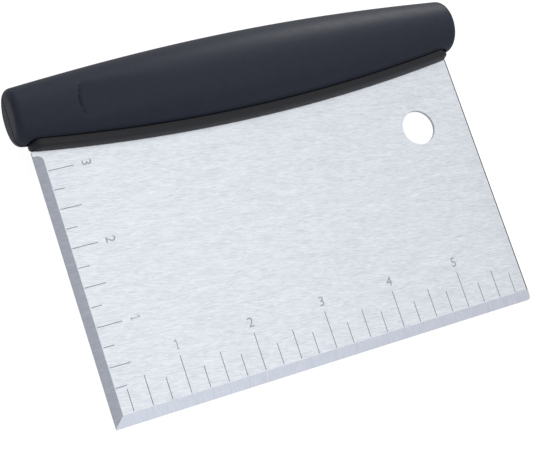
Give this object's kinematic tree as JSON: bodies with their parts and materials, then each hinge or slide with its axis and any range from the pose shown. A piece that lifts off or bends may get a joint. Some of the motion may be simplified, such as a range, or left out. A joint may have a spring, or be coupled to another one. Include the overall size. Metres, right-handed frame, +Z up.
{
  "type": "bench scraper",
  "caption": "Bench scraper for dough: stainless blade with ground bevels, etched rulers and a hanging hole, in a soft round handle.",
  "frame": {"origin": "middle of the ground under the scraper as it lies face up at rest, on the rear of its grip and on its cutting edge", "axes": "+X along the handle and the cutting edge, towards the hanging hole; +Y from the cutting edge to the handle; +Z up, out of the blade's front face but for a lean of about 7.5 degrees"},
  "size_m": [0.16, 0.1126, 0.0272],
  "materials": {
    "brushed_stainless": "brushed along the cutting edge, bevels ground",
    "core_plastic": "moulded black, fine satin",
    "pin_plastic": "moulded, dull",
    "soft_grip": "soft-touch elastomer, blue-black, matt"
  },
  "bodies": {
    "root": {"blade": "brushed_stainless", "core_front": "core_plastic", "core_rear": "core_plastic", "tang_pins": "pin_plastic", "grip_front": "soft_grip", "grip_rear": "soft_grip"}
  },
  "joints": []
}
